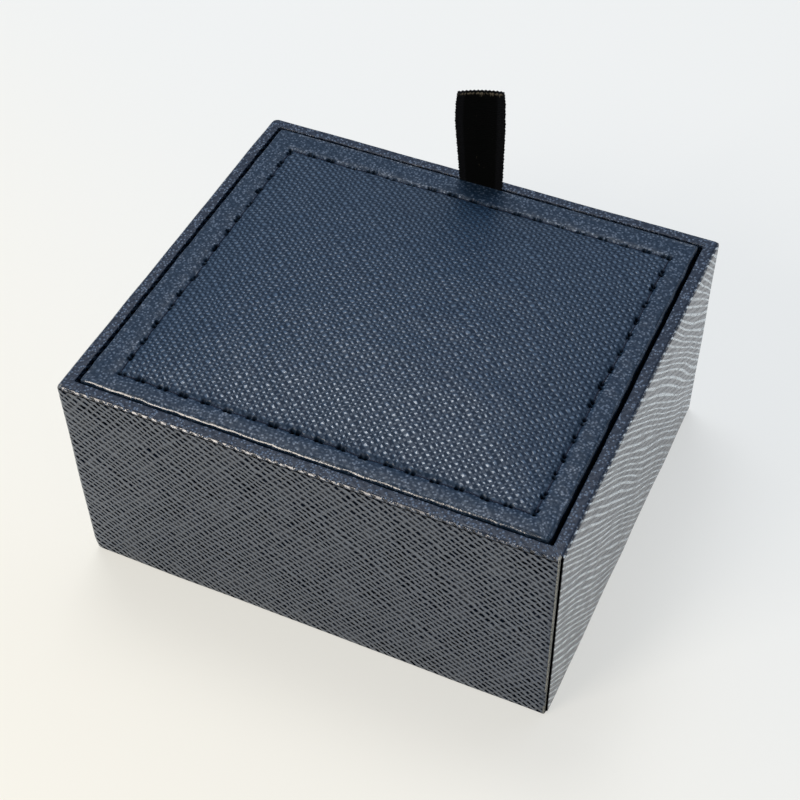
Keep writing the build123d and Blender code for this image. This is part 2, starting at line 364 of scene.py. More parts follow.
def side_marks(half_length, step, fine=0.25):
    """Places along one side, fine near the corners. The last corner belongs to the next side."""
    ends = np.linspace(half_length - REACH, half_length, int(REACH / fine) + 1)
    count = max(2, round(2 * (half_length - REACH) / step))
    return np.concatenate([-ends[:0:-1], np.linspace(-ends[0], ends[0], count + 1), ends[1:-1]])


# %% [markdown]
# Real leather and velvet are never perfectly flat. A few long waves, added together, give a wrapped wall
# or a pad its small unevenness. The waves have fixed directions, so the piece is the same on every run.

# %% Unevenness
def uneven(points, wavelength, seed):
    """A smooth value between about -1 and 1 for each point, from crossing waves of about one length."""
    rng = np.random.default_rng(seed)
    total = np.zeros(len(points))
    for _ in range(7):
        way = rng.normal(size=points.shape[1])
        way *= 2 * math.pi / (wavelength * rng.uniform(0.7, 1.5)) / np.linalg.norm(way)
        total += np.sin(points @ way + rng.uniform(0, 2 * math.pi))
    return total / 3.0


# %% [markdown]
# ## Leatherette
#
# The wrap is PVC leatherette with a cross grain: a sheet pressed with two sets of slanting threads, about a
# millimetre apart, with small pits where neither set runs. On the walls one set is stronger and makes long
# threads, with a painted highlight along their tops and painted shade in the dashes between them. On the lid
# the crossings stand up as beads, and so do the places halfway between them, as in a weave.
#
# Each set is a cosine of the distance across it. Slow noise, stretched along the threads, changes their
# spacing, and quicker noise makes them waver. The same noise in each set would move both alike, so each
# takes it from another place.

# %% Cross grain
def stripes(tree, cloth, angle, spacing):
    """A phase that grows by a full turn from each stripe to the next."""
    turn, per_mm = math.radians(angle), 2 * math.pi / spacing
    return along(tree, cloth, (per_mm * math.cos(turn), per_mm * math.sin(turn), 0.0))


def drawn_out(tree, cloth, angle, width, length, shift=0.0):
    """The cloth's places drawn out along stripes, for noise that is longer than it is wide."""
    return add(tree, "Mapping", cloth, (0, 0, shift), (0, 0, math.radians(angle)), (width, length, 1.0),
               vector_type="TEXTURE")


def thread_set(tree, cloth, number, angle, spacing, waver):
    """The phase of one set of threads."""
    phase = stripes(tree, cloth, angle, spacing)
    slow = drawn_out(tree, cloth, angle, 4.0, 22.0, 7.0 * number)
    quick = add(tree, "Mapping", cloth, (3.1 * number, 0, 0))
    tremble = add(tree, "Mapping", cloth, (0, 5.3 * number, 0))
    noises = ((slow, 1.0, 1.0, 9.0), (quick, 1 / 1.8, 1.0, waver), (tremble, 1 / 0.8, 0.0, 0.6 * waver))
    for place, per_length, detail, sway in noises:
        phase = maths(tree, "MULTIPLY_ADD", noise(tree, place, per_length, detail), sway, phase)
    return phase


def cross_grain(tree, cloth, thread_sets, crests, weights, waver):
    """How high the pressed grain stands, and the first set's wave."""
    waves = [
        maths(tree, "COSINE", thread_set(tree, cloth, number, *threads, waver))
        for number, threads in enumerate(thread_sets)
    ]
    first, second = (
        fit(tree, wave, low, high, soft=True)
        for wave, (low, high) in zip(waves, crests)
    )
    # some crossings are pressed less than others: noise of about their own spacing
    uneven_press = fit(tree, noise(tree, cloth, 1 / 1.2, 0.0), 0.35, 0.55, 0.2, 1.0)
    both = maths(tree, "MULTIPLY", maths(tree, "MULTIPLY", first, second), uneven_press)
    # the product of the two waves also stands up halfway between the crossings
    woven = fit(tree, maths(tree, "MULTIPLY", *waves), 0.0, 0.7)
    height = maths(tree, "MULTIPLY", first, weights[0])
    for part, weight in zip((second, both, woven), weights[1:]):
        height = maths(tree, "MULTIPLY_ADD", part, weight, height)
    return height, waves[0]


# %% [markdown]
# The mesh carries five values at its points, which the material reads by name:
# - pressed says how deep the grain is, because it is ironed almost flat where the sheet is folded over;
# - hollow is painted shade: it is 1 inside a needle hole or the slit, where no light comes back, 0.9 on a
#   thin line of the wall just below the fold, and 0.2 along the lid's seam;
# - worn is where the coating has rubbed off a front corner of the rim and the pale cotton shows, and along
#   the lid's front edge, where the same pale flecks are a painted highlight;
# - pulled is where the sheet is stretched over a side wall, so that ridges stand up in it, painted pale as a
#   painted reflection of the bright floor at a glancing angle;
# - taut is the narrow tight edge of a fold, which shines most.

# %% Beads and ridges
def ironed_beads(tree, cloth, ironed, beading):
    """Scattered beads of 0.3 mm, which are what is left of the grain where it is ironed flat."""
    spots = add(tree, "TexVoronoi", add(tree, "Mapping", cloth, (1.7, 0.4, 0)), 1 / 0.5)
    bead = fit(tree, spots, 0.12, 0.46, beading, 0.0)
    return maths(tree, "MULTIPLY", bead, fit(tree, ironed, 0.2, 0.6))


def tight_ridges(tree, cloth, pulled):
    """Ridges 1.1 mm apart that wander and run together where the sheet is pulled tight."""
    angle = 47.5
    phase = stripes(tree, cloth, angle, 1.12)
    for width, length, sway in ((6.0, 26.0, 13.0), (2.2, 8.0, 1.8)):
        place = drawn_out(tree, cloth, angle, width, length)
        phase = maths(tree, "MULTIPLY_ADD", noise(tree, place, 1.0, 0.0), sway, phase)
    ridge = fit(tree, maths(tree, "COSINE", phase), 0.1, 0.8)
    fading = fit(tree, noise(tree, cloth, 1 / 3.0, 0.0), 0.35, 0.5, 0.5, 1.0)
    return maths(tree, "MULTIPLY", maths(tree, "MULTIPLY", ridge, fading), pulled)


# %% [markdown]
# The pits are painted darker and don't shine: that is painted shade, which is what the eye reads as depth.
# Beads, ridges and the first set's crests are painted paler as painted highlights, and the pale ridges on the
# side walls are a painted reflection of the bright floor. The bump then gives each of them its lit side.

# %% Colour and shine of leatherette
def skin_colour(tree, cloth, solid, marks, tones, sunk):
    """Pits in painted shade and crests, then painted highlights on lines, beads and ridges, bare cotton at
    the rim's corners with painted highlight flecks on the lid's front edge, and painted shade in holes over
    them.
    """
    # the pits are painted towards the dark tone: painted shade
    deep = maths(tree, "MULTIPLY_ADD", marks["ironed"], -sunk, solid, clamp=True)
    colour = tint(tree, deep, tones[0], tones[1])
    # painted highlights: pale beads and pale lines on the crests; the pale ridges on the side walls are a
    # painted reflection of the bright floor
    paler = (("line", 0.7, tones[2]), ("beads", 0.6, "#6C7E97"), ("ridge", 0.95, "#DFE7EA"))
    for mark, share, code in paler:
        colour = tint(tree, maths(tree, "MULTIPLY", marks[mark], share), colour, code)
    # pale cotton where a rim corner is rubbed; on the lid's front edge the same flecks are a painted
    # highlight
    fray = maths(tree, "ADD", noise(tree, cloth, 2.6, 3.0), marks["worn"])
    colour = tint(tree, fit(tree, fray, 1.1, 1.35, 0.0, 0.6), colour, "#B4AE9E")
    # painted shade: holes, the slit, a line below the fold and the seam are painted near black
    return tint(tree, marks["hollow"], colour, "#020204")


def skin_shine(tree, solid, marks, gloss):
    """Lines, beads and tight edges shine most, pits and ironed parts least, and shine is taken away where
    shade is painted, most of all in holes and the slit.
    """
    slack = maths(tree, "MULTIPLY", marks["pulled"], maths(tree, "SUBTRACT", 1.0, marks["ridge"]))
    shine = fit(tree, solid, 0.15, 0.95, gloss[0], gloss[1])
    for part, share, clamp in (
        (marks["line"], 0.2, False), (marks["beads"], 0.55, False), (slack, -0.22, True),
        (marks["ironed"], gloss[2], True),
    ):
        shine = maths(tree, "MULTIPLY_ADD", part, share, shine, clamp=clamp)
    shine = add(tree, "Mix", marks["taut"], shine, 0.75, data_type="FLOAT")
    return maths(tree, "MULTIPLY", shine, maths(tree, "SUBTRACT", 1.0, marks["hollow"], clamp=True))


# %% Leatherette material
def leatherette(
    name, thread_sets, crests, weights, waver, depth, tones, gloss, lines, patches, beading, sunk
):
    """Cross-grained leatherette.

    thread_sets gives each set's angle and spacing, crests how wide its threads are, and weights how the two
    sets, their crossings and the weave add up. depth is the relief in millimetres. tones are the colours of
    the pits, which are painted dark as painted shade, of the crests, and of the pale lines, which are a
    painted highlight. gloss is the shine of pits and of crests, and what ironing adds to it. lines, patches,
    beading and sunk say how much the painted highlight lines, the weakly pressed patches, the beads and the
    darkening of ironed parts count.
    """
    material, tree = new_material(name)
    cloth = add(tree, "UVMap", uv_map="grain")
    marks = {
        value: add(tree, "Attribute", attribute_name=value).outputs["Fac"]
        for value in ("pressed", "hollow", "worn", "pulled", "taut")
    }
    height, first_wave = cross_grain(tree, cloth, thread_sets, crests, weights, waver)
    strength = fit(tree, noise(tree, cloth, 1 / 5.0, 2.0), 0.3, 0.65, patches, 1.0)
    pit = maths(tree, "MULTIPLY", maths(tree, "SUBTRACT", 1.0, height), strength)
    pit = maths(tree, "MULTIPLY", pit, marks["pressed"])
    solid = maths(tree, "SUBTRACT", 1.0, pit, clamp=True)
    ironed = maths(tree, "SUBTRACT", 1.0, marks["pressed"], clamp=True)
    marks["ironed"] = maths(tree, "SUBTRACT", ironed, marks["pulled"], clamp=True)
    marks["beads"] = ironed_beads(tree, cloth, marks["ironed"], beading)
    marks["ridge"] = tight_ridges(tree, cloth, marks["pulled"])
    # a painted highlight along the crests of the first set
    line = fit(tree, first_wave, 0.2, 0.95, 0.0, lines)
    marks["line"] = maths(tree, "MULTIPLY", line, marks["pressed"])

    # a faint grit of 0.15 mm lies over everything
    relief = maths(tree, "MULTIPLY_ADD", noise(tree, cloth, 7.0, 2.0), 0.015, solid)
    relief = maths(tree, "MULTIPLY_ADD", marks["beads"], 0.35, relief)
    relief = maths(tree, "ADD", relief, marks["ridge"])
    rough = fit(tree, solid, 0.0, 1.0, 0.55, 0.24)
    rough = maths(tree, "MULTIPLY_ADD", marks["ironed"], 0.18, rough)
    rough = add(tree, "Mix", marks["taut"], rough, 0.22, data_type="FLOAT")
    colour, shine = skin_colour(tree, cloth, solid, marks, tones, sunk), skin_shine(tree, solid, marks, gloss)
    return surface(material, colour, rough, shine, relief, 1.0, depth, IOR=1.53)


def carry(piece, **values):
    """Writes values at the points of a piece, which its material can read by name."""
    for name, numbers in values.items():
        held = piece.data.attributes.new(name, "FLOAT", "POINT")
        held.data.foreach_set("value", np.asarray(numbers, float).ravel())


wall_skin = leatherette(
    "pvc_leatherette_walls", thread_sets=((56.0, 0.98), (-42.0, 1.08)), crests=((-0.7, 0.25), (0.2, 0.95)),
    weights=(1.0, 0.7, -0.7, 0.0), waver=2.8, depth=0.13, tones=("#03050A", "#1A2A42", "#56626F"),
    gloss=(0.0, 0.95, -0.8), lines=0.8, patches=0.7, beading=1.0, sunk=0.55,
)
lid_skin = leatherette(
    "pvc_leatherette_lid", thread_sets=((52.0, 0.98), (-43.0, 1.05)), crests=((-0.6, 0.5), (-0.6, 0.5)),
    weights=(0.28, 0.10, 0.22, 0.45), waver=3.0, depth=0.055, tones=("#0A1828", "#2E455D", "#40546B"),
    gloss=(0.10, 0.66, -0.55), lines=0.0, patches=0.95, beading=0.6, sunk=0.8,
)

# %% [markdown]
# The leatherette's cut edge shows its backing, a pale knitted cotton. It frays a little, so its colour is
# broken by fine noise, a quarter of a millimetre across, between cotton and the dark of the glue.

# %% Cut edge material
def cotton_edge():
    """Pale frayed backing cloth, seen on a cut edge."""
    material, tree = new_material("cotton_backing_cut")
    cloth = add(tree, "UVMap", uv_map="grain")
    fray = noise(tree, cloth, 4.0, 2.0)
    share = fit(tree, fray, 0.38, 0.62)
    return surface(material, tint(tree, share, "#34363A", "#A9A9A2"), 0.9, 0.5, fray, 1.0, 0.15)


cut_edge = cotton_edge()

# %% [markdown]
# ## The wrap
#
# On the real box one strip is glued round the walls, turned in over the rim and turned under the base. Its
# two ends meet at the front right corner: the front's end shows its cut edge there, and a thin slit, painted
# dark as painted shade, is left beside it. The wrap is a net. Its columns go round the box and its rows
# follow the skin from under the base, up the wall, over the rim, down inside, and back along its glued face.

# %% Wrap
WRAP_RADII = (0.3, 0.6, 1.2, 0.6)  # upright corners: front right, back right, back left, front left
CUT_BACK = 0.35  # how far the front's end stops short of the corner
SLIT = (0.42, 0.44, 0.74, 0.76, 0.86)  # from the front: cut edge ends, floor, floor, next skin, its face
SLIT_DEPTH = 0.8
CORNER_COLUMNS = 10  # the last columns of the net, which turn the front right corner


def arc(middle, radius, first, last, steps=5):
    """Points of an arc in the plane of inset and height. Angles are in degrees, 0 to the inside."""
    angles = np.radians(np.linspace(first, last, steps))
    return [(middle[0] + radius * math.cos(a), middle[1] + radius * math.sin(a)) for a in angles]


def wrap_profile():
    """Inset and height of the wrap's skin, from under the base round to its glued face."""
    foot, low = 0.3, 0.7
    outside = [(8.0, foot), (4.0, foot), (1.5, foot)] + arc((0.5, foot + 0.5), 0.5, 270, 180)
    outside += [(0.0, z) for z in np.linspace(foot + 0.5, RIM - 0.85, 20)[1:]]
    # on the wall below the fold a thin line is painted dark as painted shade, then there is a narrow flat at
    # 45 degrees before the rim
    rim = [(0.0, RIM - fall) for fall in (0.74, 0.68, 0.50, 0.44)]
    fold = ((0.015, 0.40), (0.06, 0.34), (0.25, 0.15), (0.33, 0.08), (0.43, 0.025))
    rim += [(inset, RIM - fall) for inset, fall in fold]
    rim += [(d, RIM) for d in np.linspace(0.55, WALL - 0.16, 6)]
    rim += arc((WALL - 0.16, RIM - 0.16), 0.16, 90, 0, 5)[1:]
    inside = [(WALL, z) for z in (39.2, 38.6, 37.4, 36.0, 32.0, 28.0)]
    glued = [(WALL - WRAP, 28.0), (WALL - WRAP, RIM - WRAP), (WRAP, RIM - WRAP), (WRAP, low), (8.0, low)]
    return np.array(outside + rim + inside), np.array(glued)


def wrap_marks(half):
    """Places round the wrap, with extra ones at the slit, and how far the face stands back at each."""
    marks = [side_marks(half[1 - turn % 2], 2.0) for turn in range(4)]
    start = half[1] - REACH
    length = HALF_DEPTH - WRAP_RADII[0] - start + WRAP_RADII[0] * math.pi / 4
    slit = [-(start + (HALF_DEPTH - value - start) / length * REACH) for value in (0.36, *SLIT, 1.2)]
    rest = [p for p in marks[0] if p > slit[-1] + 0.1 or p < slit[0] - 0.1]
    marks[0] = np.array(sorted(rest + slit))
    first = int(np.argmin(np.abs(marks[0] - slit[0])))
    drop = np.zeros(sum(len(m) for m in marks))
    drop[: first + 2] = drop[-CORNER_COLUMNS:] = CUT_BACK
    drop[first + 2 : first + 4] = SLIT_DEPTH
    drop[first + 4] = 0.08
    return marks, drop, first


def wrap_values(piece, points, on_wall, profile, first, shown):
    """Writes what the leatherette's material reads: where the wrap is ironed, pulled, taut or worn, and where
    shade is painted, in the slit and on a line below the fold.
    """
    x, y, z = points[..., 0], points[..., 1], points[..., 2]
    # painted shade: the slit is painted near black
    hollow = np.zeros(z.shape)
    hollow[np.ix_(on_wall, np.arange(first + 2, first + 5))] = 1.0
    # painted shade: a thin dark line on the wall just below the fold
    crease = (np.abs(profile[:, 1] - RIM + 0.59) < 0.1) & on_wall
    hollow[crease] = np.maximum(hollow[crease], 0.9)
    below_fold = z < RIM - 0.3
    to_end = np.clip((HALF_WIDTH - CUT_BACK - x) / 1.2, 0, 1)
    pressed = np.where(z > RIM - 0.3, 0.1, 1.0)
    pressed = np.where((y < -HALF_DEPTH + 0.1) & below_fold, 0.3 + 0.7 * to_end, pressed)
    pulled = np.clip((np.abs(x) - HALF_WIDTH + 0.3) / 0.2, 0, 1) * below_fold
    pressed = np.where(pulled > 0.5, 0.3, pressed)
    taut = ((z > RIM - 0.36) & (z < RIM - 0.10)).astype(float)
    taut[shown:] = 0.0
    on_top = (z > RIM - 0.34).astype(float)
    worn = np.zeros(z.shape)
    for side, strength in ((-1, 0.75), (1, 0.9)):
        away = np.hypot(x - side * (HALF_WIDTH - 0.4), y + HALF_DEPTH - 0.4)
        worn = np.maximum(worn, on_top * strength * np.exp(-((away / 0.8) ** 2)))
    carry(piece, hollow=hollow, pressed=pressed, worn=worn, pulled=pulled, taut=taut)


def build_wrap():
    """The leatherette round the walls, with its slit and its cut edge."""
    half = (HALF_WIDTH - WALL, HALF_DEPTH - WALL)
    marks, drop, first = wrap_marks(half)
    skin, glued = wrap_profile()
    profile, shown = np.concatenate([skin, glued]), len(skin)
    rows = []
    for inset, height in profile:
        radii = [max(r - inset, 0.25) for r in WRAP_RADII]
        if inset < 0.6:
            radii[3] += 1.3 * max(1 - height / 2.2, 0) ** 2
        flat = outline(marks, half, WALL - inset, radii)
        rows.append(np.column_stack([flat, np.full(len(flat), height)]))
    points = np.array(rows)
    around = run_length(outline(marks, half, WALL, WRAP_RADII), closed=True)
    up = run_length(profile)
    up += profile[4, 1] - up[4]

    # the slit, then a slow unevenness of the walls and of the rim
    on_wall = (profile[:, 0] < 0.3) & (np.arange(len(profile)) < shown)
    points[on_wall, :, 0] = np.minimum(points[on_wall, :, 0], HALF_WIDTH - drop)
    flat = points[:shown].reshape(-1, 3)
    inward = np.column_stack([-flat[:, 0] / HALF_WIDTH, -flat[:, 1] / HALF_DEPTH])
    inward = np.where(np.abs(inward) > 0.93, np.sign(inward), 0.0)
    flat[:, :2] += inward * (0.05 * uneven(flat, 14.0, 3))[:, None]
    flat[:, 2] += np.where(flat[:, 2] > RIM - 0.15, 0.04 * uneven(flat, 5.0, 4), 0.0)
    points[:shown] = flat.reshape(shown, -1, 3)
    grain = np.stack(np.meshgrid(around, np.append(up, up[-1] + 0.4)), axis=-1)
    piece = make_net("leatherette_wrap", wall_skin, points, grain, True)
    wrap_values(piece, points, on_wall, profile, first, shown)

    piece.data.materials.append(cut_edge)
    columns = points.shape[1]
    for row in range(shown - 1):
        if on_wall[row] and on_wall[row + 1]:
            frayed = points[row, -CORNER_COLUMNS:, 0] > HALF_WIDTH - CUT_BACK - 0.27
            for column in [*range(first + 1), *(columns - CORNER_COLUMNS + np.flatnonzero(frayed))]:
                piece.data.polygons[row * columns + int(column)].material_index = 1
    settle(piece, "box", "leatherette", "outer_wrap")


build_wrap()

# %% [markdown]
# ## The lid's cover
#
# A padded lid is a board with foam on it, and leatherette drawn over both. A row of stitches pulls the
# cover down all round, so the middle swells up as a cushion and a puffy border stays outside the stitches.
# The needle leaves a small hole at each stitch, painted dark as painted shade, and the cover puckers between
# the holes.
#
# The cover is a net whose height is worked out from where each point is: how far from the seam, and how
# near to a needle hole. That gives the seam, the holes and the swelling in one even surface.

# %% Where the stitches are
LID_HALF = (LID_HIGH[:2] - LID_LOW[:2]) / 2
COVER_HALF = LID_HALF + (0.12, 0.35)  # the cover is puffy, so it fills more of the opening than its board
COVER_SHIFT = np.array([0.0, -0.1])
BORDER = 40.3  # the height of the flat border outside the stitches
SWELL = 2.7  # how far the cushion rises over the border
SEAM_LEFT, SEAM_RIGHT, SEAM_FRONT, SEAM_BACK = -33.55, 34.65, -30.0, 28.45
SKEW = 0.2  # the row was sewn by hand and guide: its left and right sides lean this much


def needle_places():
    """The needle holes in sewing order along each side, as lists of points."""
    rng = np.random.default_rng(11)
    sides = []
    front_left, front_right = (SEAM_LEFT + SKEW, SEAM_FRONT), (SEAM_RIGHT - SKEW, SEAM_FRONT)
    back_left, back_right = (SEAM_LEFT - SKEW, SEAM_BACK), (SEAM_RIGHT + SKEW, SEAM_BACK)
    for a, b, count in (
        (front_left, front_right, 18),
        (front_right, back_right, 15),
        (back_right, back_left, 18),
        (back_left, front_left, 15),
    ):
        share = np.linspace(0, 1, count + 1)[:, None]
        line = np.array(a) * (1 - share) + np.array(b) * share
        line[1:-1] += rng.normal(scale=0.12, size=(count - 1, 2))
        sides.append(line)
    return sides


def hole_pairs():
    """Each needle place is two holes side by side, where one stitch dives and the next comes up."""
    rng = np.random.default_rng(12)
    holes = []
    for row in needle_rows:
        way = (row[-1] - row[0]) / np.linalg.norm(row[-1] - row[0])
        for number, place in enumerate(row[:-1]):
            for side in (-0.44, 0.44) if number else (0.1, 0.9):
                spot = place + way * side + rng.normal(scale=0.06, size=2)
                holes.append([*spot, rng.uniform(0.28, 0.38)])
    return np.array(holes)


needle_rows = needle_places()
needle_holes = hole_pairs()
print("needle holes:", len(needle_holes))

# %% Height of the lid's surface
def seam_sides(x, y):
    """How far a point is outside the row of stitches, across the box and along its depth."""
    lean = SKEW * (y - (SEAM_FRONT + SEAM_BACK) / 2) * 2 / (SEAM_BACK - SEAM_FRONT)
    dx = np.abs(x - (SEAM_LEFT + SEAM_RIGHT) / 2) - (SEAM_RIGHT - SEAM_LEFT) / 2 - lean
    dy = np.abs(y - (SEAM_FRONT + SEAM_BACK) / 2) - (SEAM_BACK - SEAM_FRONT) / 2
    return dx, dy


def seam_distance(x, y):
    """How far a point is outside the seam. Inside it is negative."""
    dx, dy = seam_sides(x, y)
    return np.hypot(np.maximum(dx, 0), np.maximum(dy, 0)) + np.minimum(np.maximum(dx, dy), 0)


def hole_distance(x, y):
    """Distance to the nearest needle hole, as a share of its radius, and in millimetres."""
    share, nearest = np.full(len(x), 40.0), np.full(len(x), 40.0)
    for hx, hy, radius in needle_holes:
        away = np.hypot(x - hx, y - hy)
        share, nearest = np.minimum(share, away / radius), np.minimum(nearest, away)
    return share, nearest


def lid_height(x, y):
    """Height of the cover's surface over the table."""
    away = seam_distance(x, y)
    dx, dy = seam_sides(x, y)
    u = np.clip(1 + dx * 2 / (SEAM_RIGHT - SEAM_LEFT), 0, 1)
    v = np.clip(1 + dy * 2 / (SEAM_BACK - SEAM_FRONT), 0, 1)
    swell = SWELL * ((1 - u**2.6) * (1 - v**2.4)) ** 0.8
    height = BORDER + np.where(away < 0, swell, 0.0)
    height += np.where(away > 0, 0.12 * np.sin(np.clip(away / 3.6, 0, 1) * math.pi), 0.0)
    # the seam is a channel, deeper near the holes, and every hole has a small raised lip
    share, nearest = hole_distance(x, y)
    height -= (0.12 + 0.12 * np.exp(-((nearest / 1.1) ** 2))) * np.exp(-((away / 0.45) ** 2))
    height += 0.05 * np.exp(-(((share - 1.55) / 0.45) ** 2)) - 1.0 * np.exp(-((share / 0.95) ** 4))
    flat = np.column_stack([x, y])
    height += 0.05 * uneven(flat, 9.0, 21) + 0.02 * uneven(flat, 3.0, 22)
    return height


# %% [markdown]
# The middle of the cover is a regular net, and rings of points carry its edge outwards: across the border,
# over the rounded edge, down the side, and in under the board. The rings follow the rounded corners.

# %% Sheet drawn over a block
def edge_of(part):
    """The numbers of a net's edge points, from the right side anticlockwise."""
    return np.concatenate([part[-1, :-1], part[::-1, -1][:-1], part[0, ::-1][:-1], part[:, 0][:-1]])


def draped(name, material, xs, ys, rings, height, holes=()):
    """A net over a rectangle, whose edge is carried on by rings of (out, height or None, corner radius)."""
    gx, gy = np.meshgrid(xs, ys, indexing="ij")
    index = np.arange(gx.size).reshape(gx.shape)
    top = np.column_stack([gx.ravel(), gy.ravel(), height(gx.ravel(), gy.ravel())])
    corners = net_corners(len(xs), len(ys))
    faces = index[corners[..., 0], corners[..., 1]]
    cx, cy = top[faces].mean(1)[:, :2].T
    keep = np.ones(len(faces), bool)
    loops = [(xs, ys, edge_of(index), rings, 1)]
    for x0, x1, y0, y1, hole_rings in holes:
        keep &= ~((cx > x0) & (cx < x1) & (cy > y0) & (cy < y1))
        i = np.where((xs > x0 - 1e-6) & (xs < x1 + 1e-6))[0]
        j = np.where((ys > y0 - 1e-6) & (ys < y1 + 1e-6))[0]
        loops.append((xs[i], ys[j], edge_of(index[i[0] : i[-1] + 1, j[0] : j[-1] + 1]), hole_rings, -1))
    points, grain, all_faces, count = [top], [top[:, :2]], [faces[keep]], len(top)
    for lx, ly, before, ring_list, outwards in loops:
        centre = np.array([(lx[0] + lx[-1]) / 2, (ly[0] + ly[-1]) / 2])
        half = ((lx[-1] - lx[0]) / 2, (ly[-1] - ly[0]) / 2)
        back, left = -(lx[::-1][:-1] - centre[0]), centre[1] - ly[::-1][:-1]
        marks = [ly[:-1] - centre[1], back, left, lx[:-1] - centre[0]]
        base = outline(marks, half, 0.0, [0.0] * 4) + centre
        reach = np.abs(base - centre) / np.array(half) > 1 - 1e-6
        travelled, last = 0.0, np.array([0.0, top[before, 2].mean()])
        for out, level, radius in ring_list:
            flat = outline(marks, half, out, [radius] * 4) + centre
            z = height(flat[:, 0], flat[:, 1]) if level is None else np.full(len(flat), float(level))
            place = np.array([out, z.mean()])
            travelled += float(np.linalg.norm(place - last))
            last, now = place, np.arange(count, count + len(flat))
            points.append(np.column_stack([flat, z]))
            grain.append(base + np.sign(base - centre) * reach * travelled * outwards)
            all_faces.append(np.stack([before, np.roll(before, -1), np.roll(now, -1), now], 1))
            before, count = now, count + len(flat)
    points, grain, faces = np.concatenate(points), np.concatenate(grain), np.concatenate(all_faces)
    return make_piece(name, material, points, faces, grain[faces], crease=50.0), points


# %% Lid cover
def lines_across(low, high, places, coarse, fine=0.16, reach=0.95):
    """Places for a net's lines: fine near the given places and coarse elsewhere."""
    near = np.unique(np.round(places, 3))
    spot, lines = low, [low]
    while spot < high:
        away = np.abs(near - spot).min()
        spot += fine if away < reach else min(coarse, max(fine, (away - reach) * 0.6 + fine))
        lines.append(spot)
    lines = np.array(lines)
    return low + (lines - low) * (high - low) / (lines[-1] - low)


def build_lid_cover():
    """Leatherette over the padded lid."""
    # the net's middle stops 1.7 mm short of the edge, and rings carry it on
    grow, edge = 1.7, 0.42
    half = COVER_HALF - grow
    xs = lines_across(-half[0], half[0], needle_holes[:, 0], 0.42) + COVER_SHIFT[0]
    ys = lines_across(-half[1], half[1], needle_holes[:, 1], 0.42) + COVER_SHIFT[1]
    rings = [(d, None, 0.1 + 0.2 * d) for d in (0.35, 0.7, 1.0, grow - edge)]
    # the edge: a roll with a narrow flat at 45 degrees in its middle, where the cover is drawn tight
    for out, fall in ((0.36, 0.01), (0.26, 0.05), (0.06, 0.25), (0.01, 0.33), (0.0, 0.45)):
        rings.append((grow - out, BORDER - fall, 0.5))
    # then down the board's side and in under it
    for out, z, radius in (
        (0.0, 39.5, 0.5), (0.1, 39.1, 0.5), (0.35, 38.6, 0.4), (0.4, 37.8, 0.4), (0.4, 37.2, 0.4),
        (0.4, 36.7, 0.4), (0.4, 36.3, 0.4), (0.5, 36.15, 0.4), (0.8, 36.1, 0.3), (3, 36.1, 0.2),
        (6, 36.1, 0.1), (6, 36.6, 0.1),
    ):
        rings.append((grow - out, z, radius))
    cover, points = draped("leatherette_lid_cover", lid_skin, xs, ys, rings, lid_height)
    side = (points[:, 2] < BORDER - 0.1) & (points[:, 2] > 36.3)
    wave = 0.05 * uneven(points, 4.0, 31)
    points[side, :2] *= 1 + (wave[side] / 35.0)[:, None]
    cover.data.vertices.foreach_set("co", (points * MM).ravel())
    x, y, z = points.T
    away = seam_distance(x, y)
    share, _ = hole_distance(x, y)
    # painted shade inside the needle holes, and faintly along the seam
    hollow = np.where(z > 39.0, np.exp(-((share / 1.15) ** 4)), 0.0)
    hollow = np.maximum(hollow, 0.2 * np.exp(-((away / 0.16) ** 2)) * (z > 39.0))
    pressed = 0.25 + 0.75 / (1 + np.exp((away + 0.3) / 0.35))
    on_edge = (np.abs(points[:, :2] - COVER_SHIFT) - COVER_HALF + 0.3 > 0).any(axis=1)
    taut = (on_edge & (z > BORDER - 0.27) & (z < BORDER - 0.04)).astype(float)
    # the lid's front edge carries pale flecks: a painted highlight
    carry(cover, hollow=hollow, pressed=pressed, worn=0.4 * taut * (y < 0), taut=taut)
    settle(cover, "lid", "leatherette", "lid_cover")


build_lid_cover()

# %% [markdown]
# ## Stitches
#
# The thread is thin dark polyester. It lies in the seam between two needle holes and dives into them, so
# only the middle of each stitch shows. Each stitch is a thin tube along a short arc that follows the
# cover's surface.

# %% Thread material and stitches
def polyester_thread():
    """Dark blue polyester thread, twisted: fine slanting ridges with a slight gloss."""
    material, tree = new_material("polyester_thread")
    cloth = add(tree, "UVMap", uv_map="grain")
    # a twist every 0.45 mm, wider than on the real thread so that it shows
    twist = along(tree, cloth, (14.0, 9.0, 0.0))
    share = fit(tree, maths(tree, "SINE", twist), -1.0, 1.0)
    return surface(material, tint(tree, share, "#070C18", "#18233A"), 0.6, 0.2, share, 0.8, 0.04)


def tube(path, radius, sides=8):
    """Rings of points round a path."""
    way = np.gradient(path, axis=0)
    way /= np.linalg.norm(way, axis=1)[:, None]
    side = np.cross(way, [0.0, 0.0, 1.0])
    side /= np.maximum(np.linalg.norm(side, axis=1), 1e-9)[:, None]
    up = np.cross(side, way)
    angles = np.linspace(0, 2 * math.pi, sides, endpoint=False)
    ring = np.cos(angles)[None, :, None] * side[:, None] + np.sin(angles)[None, :, None] * up[:, None]
    return path[:, None] + radius * ring


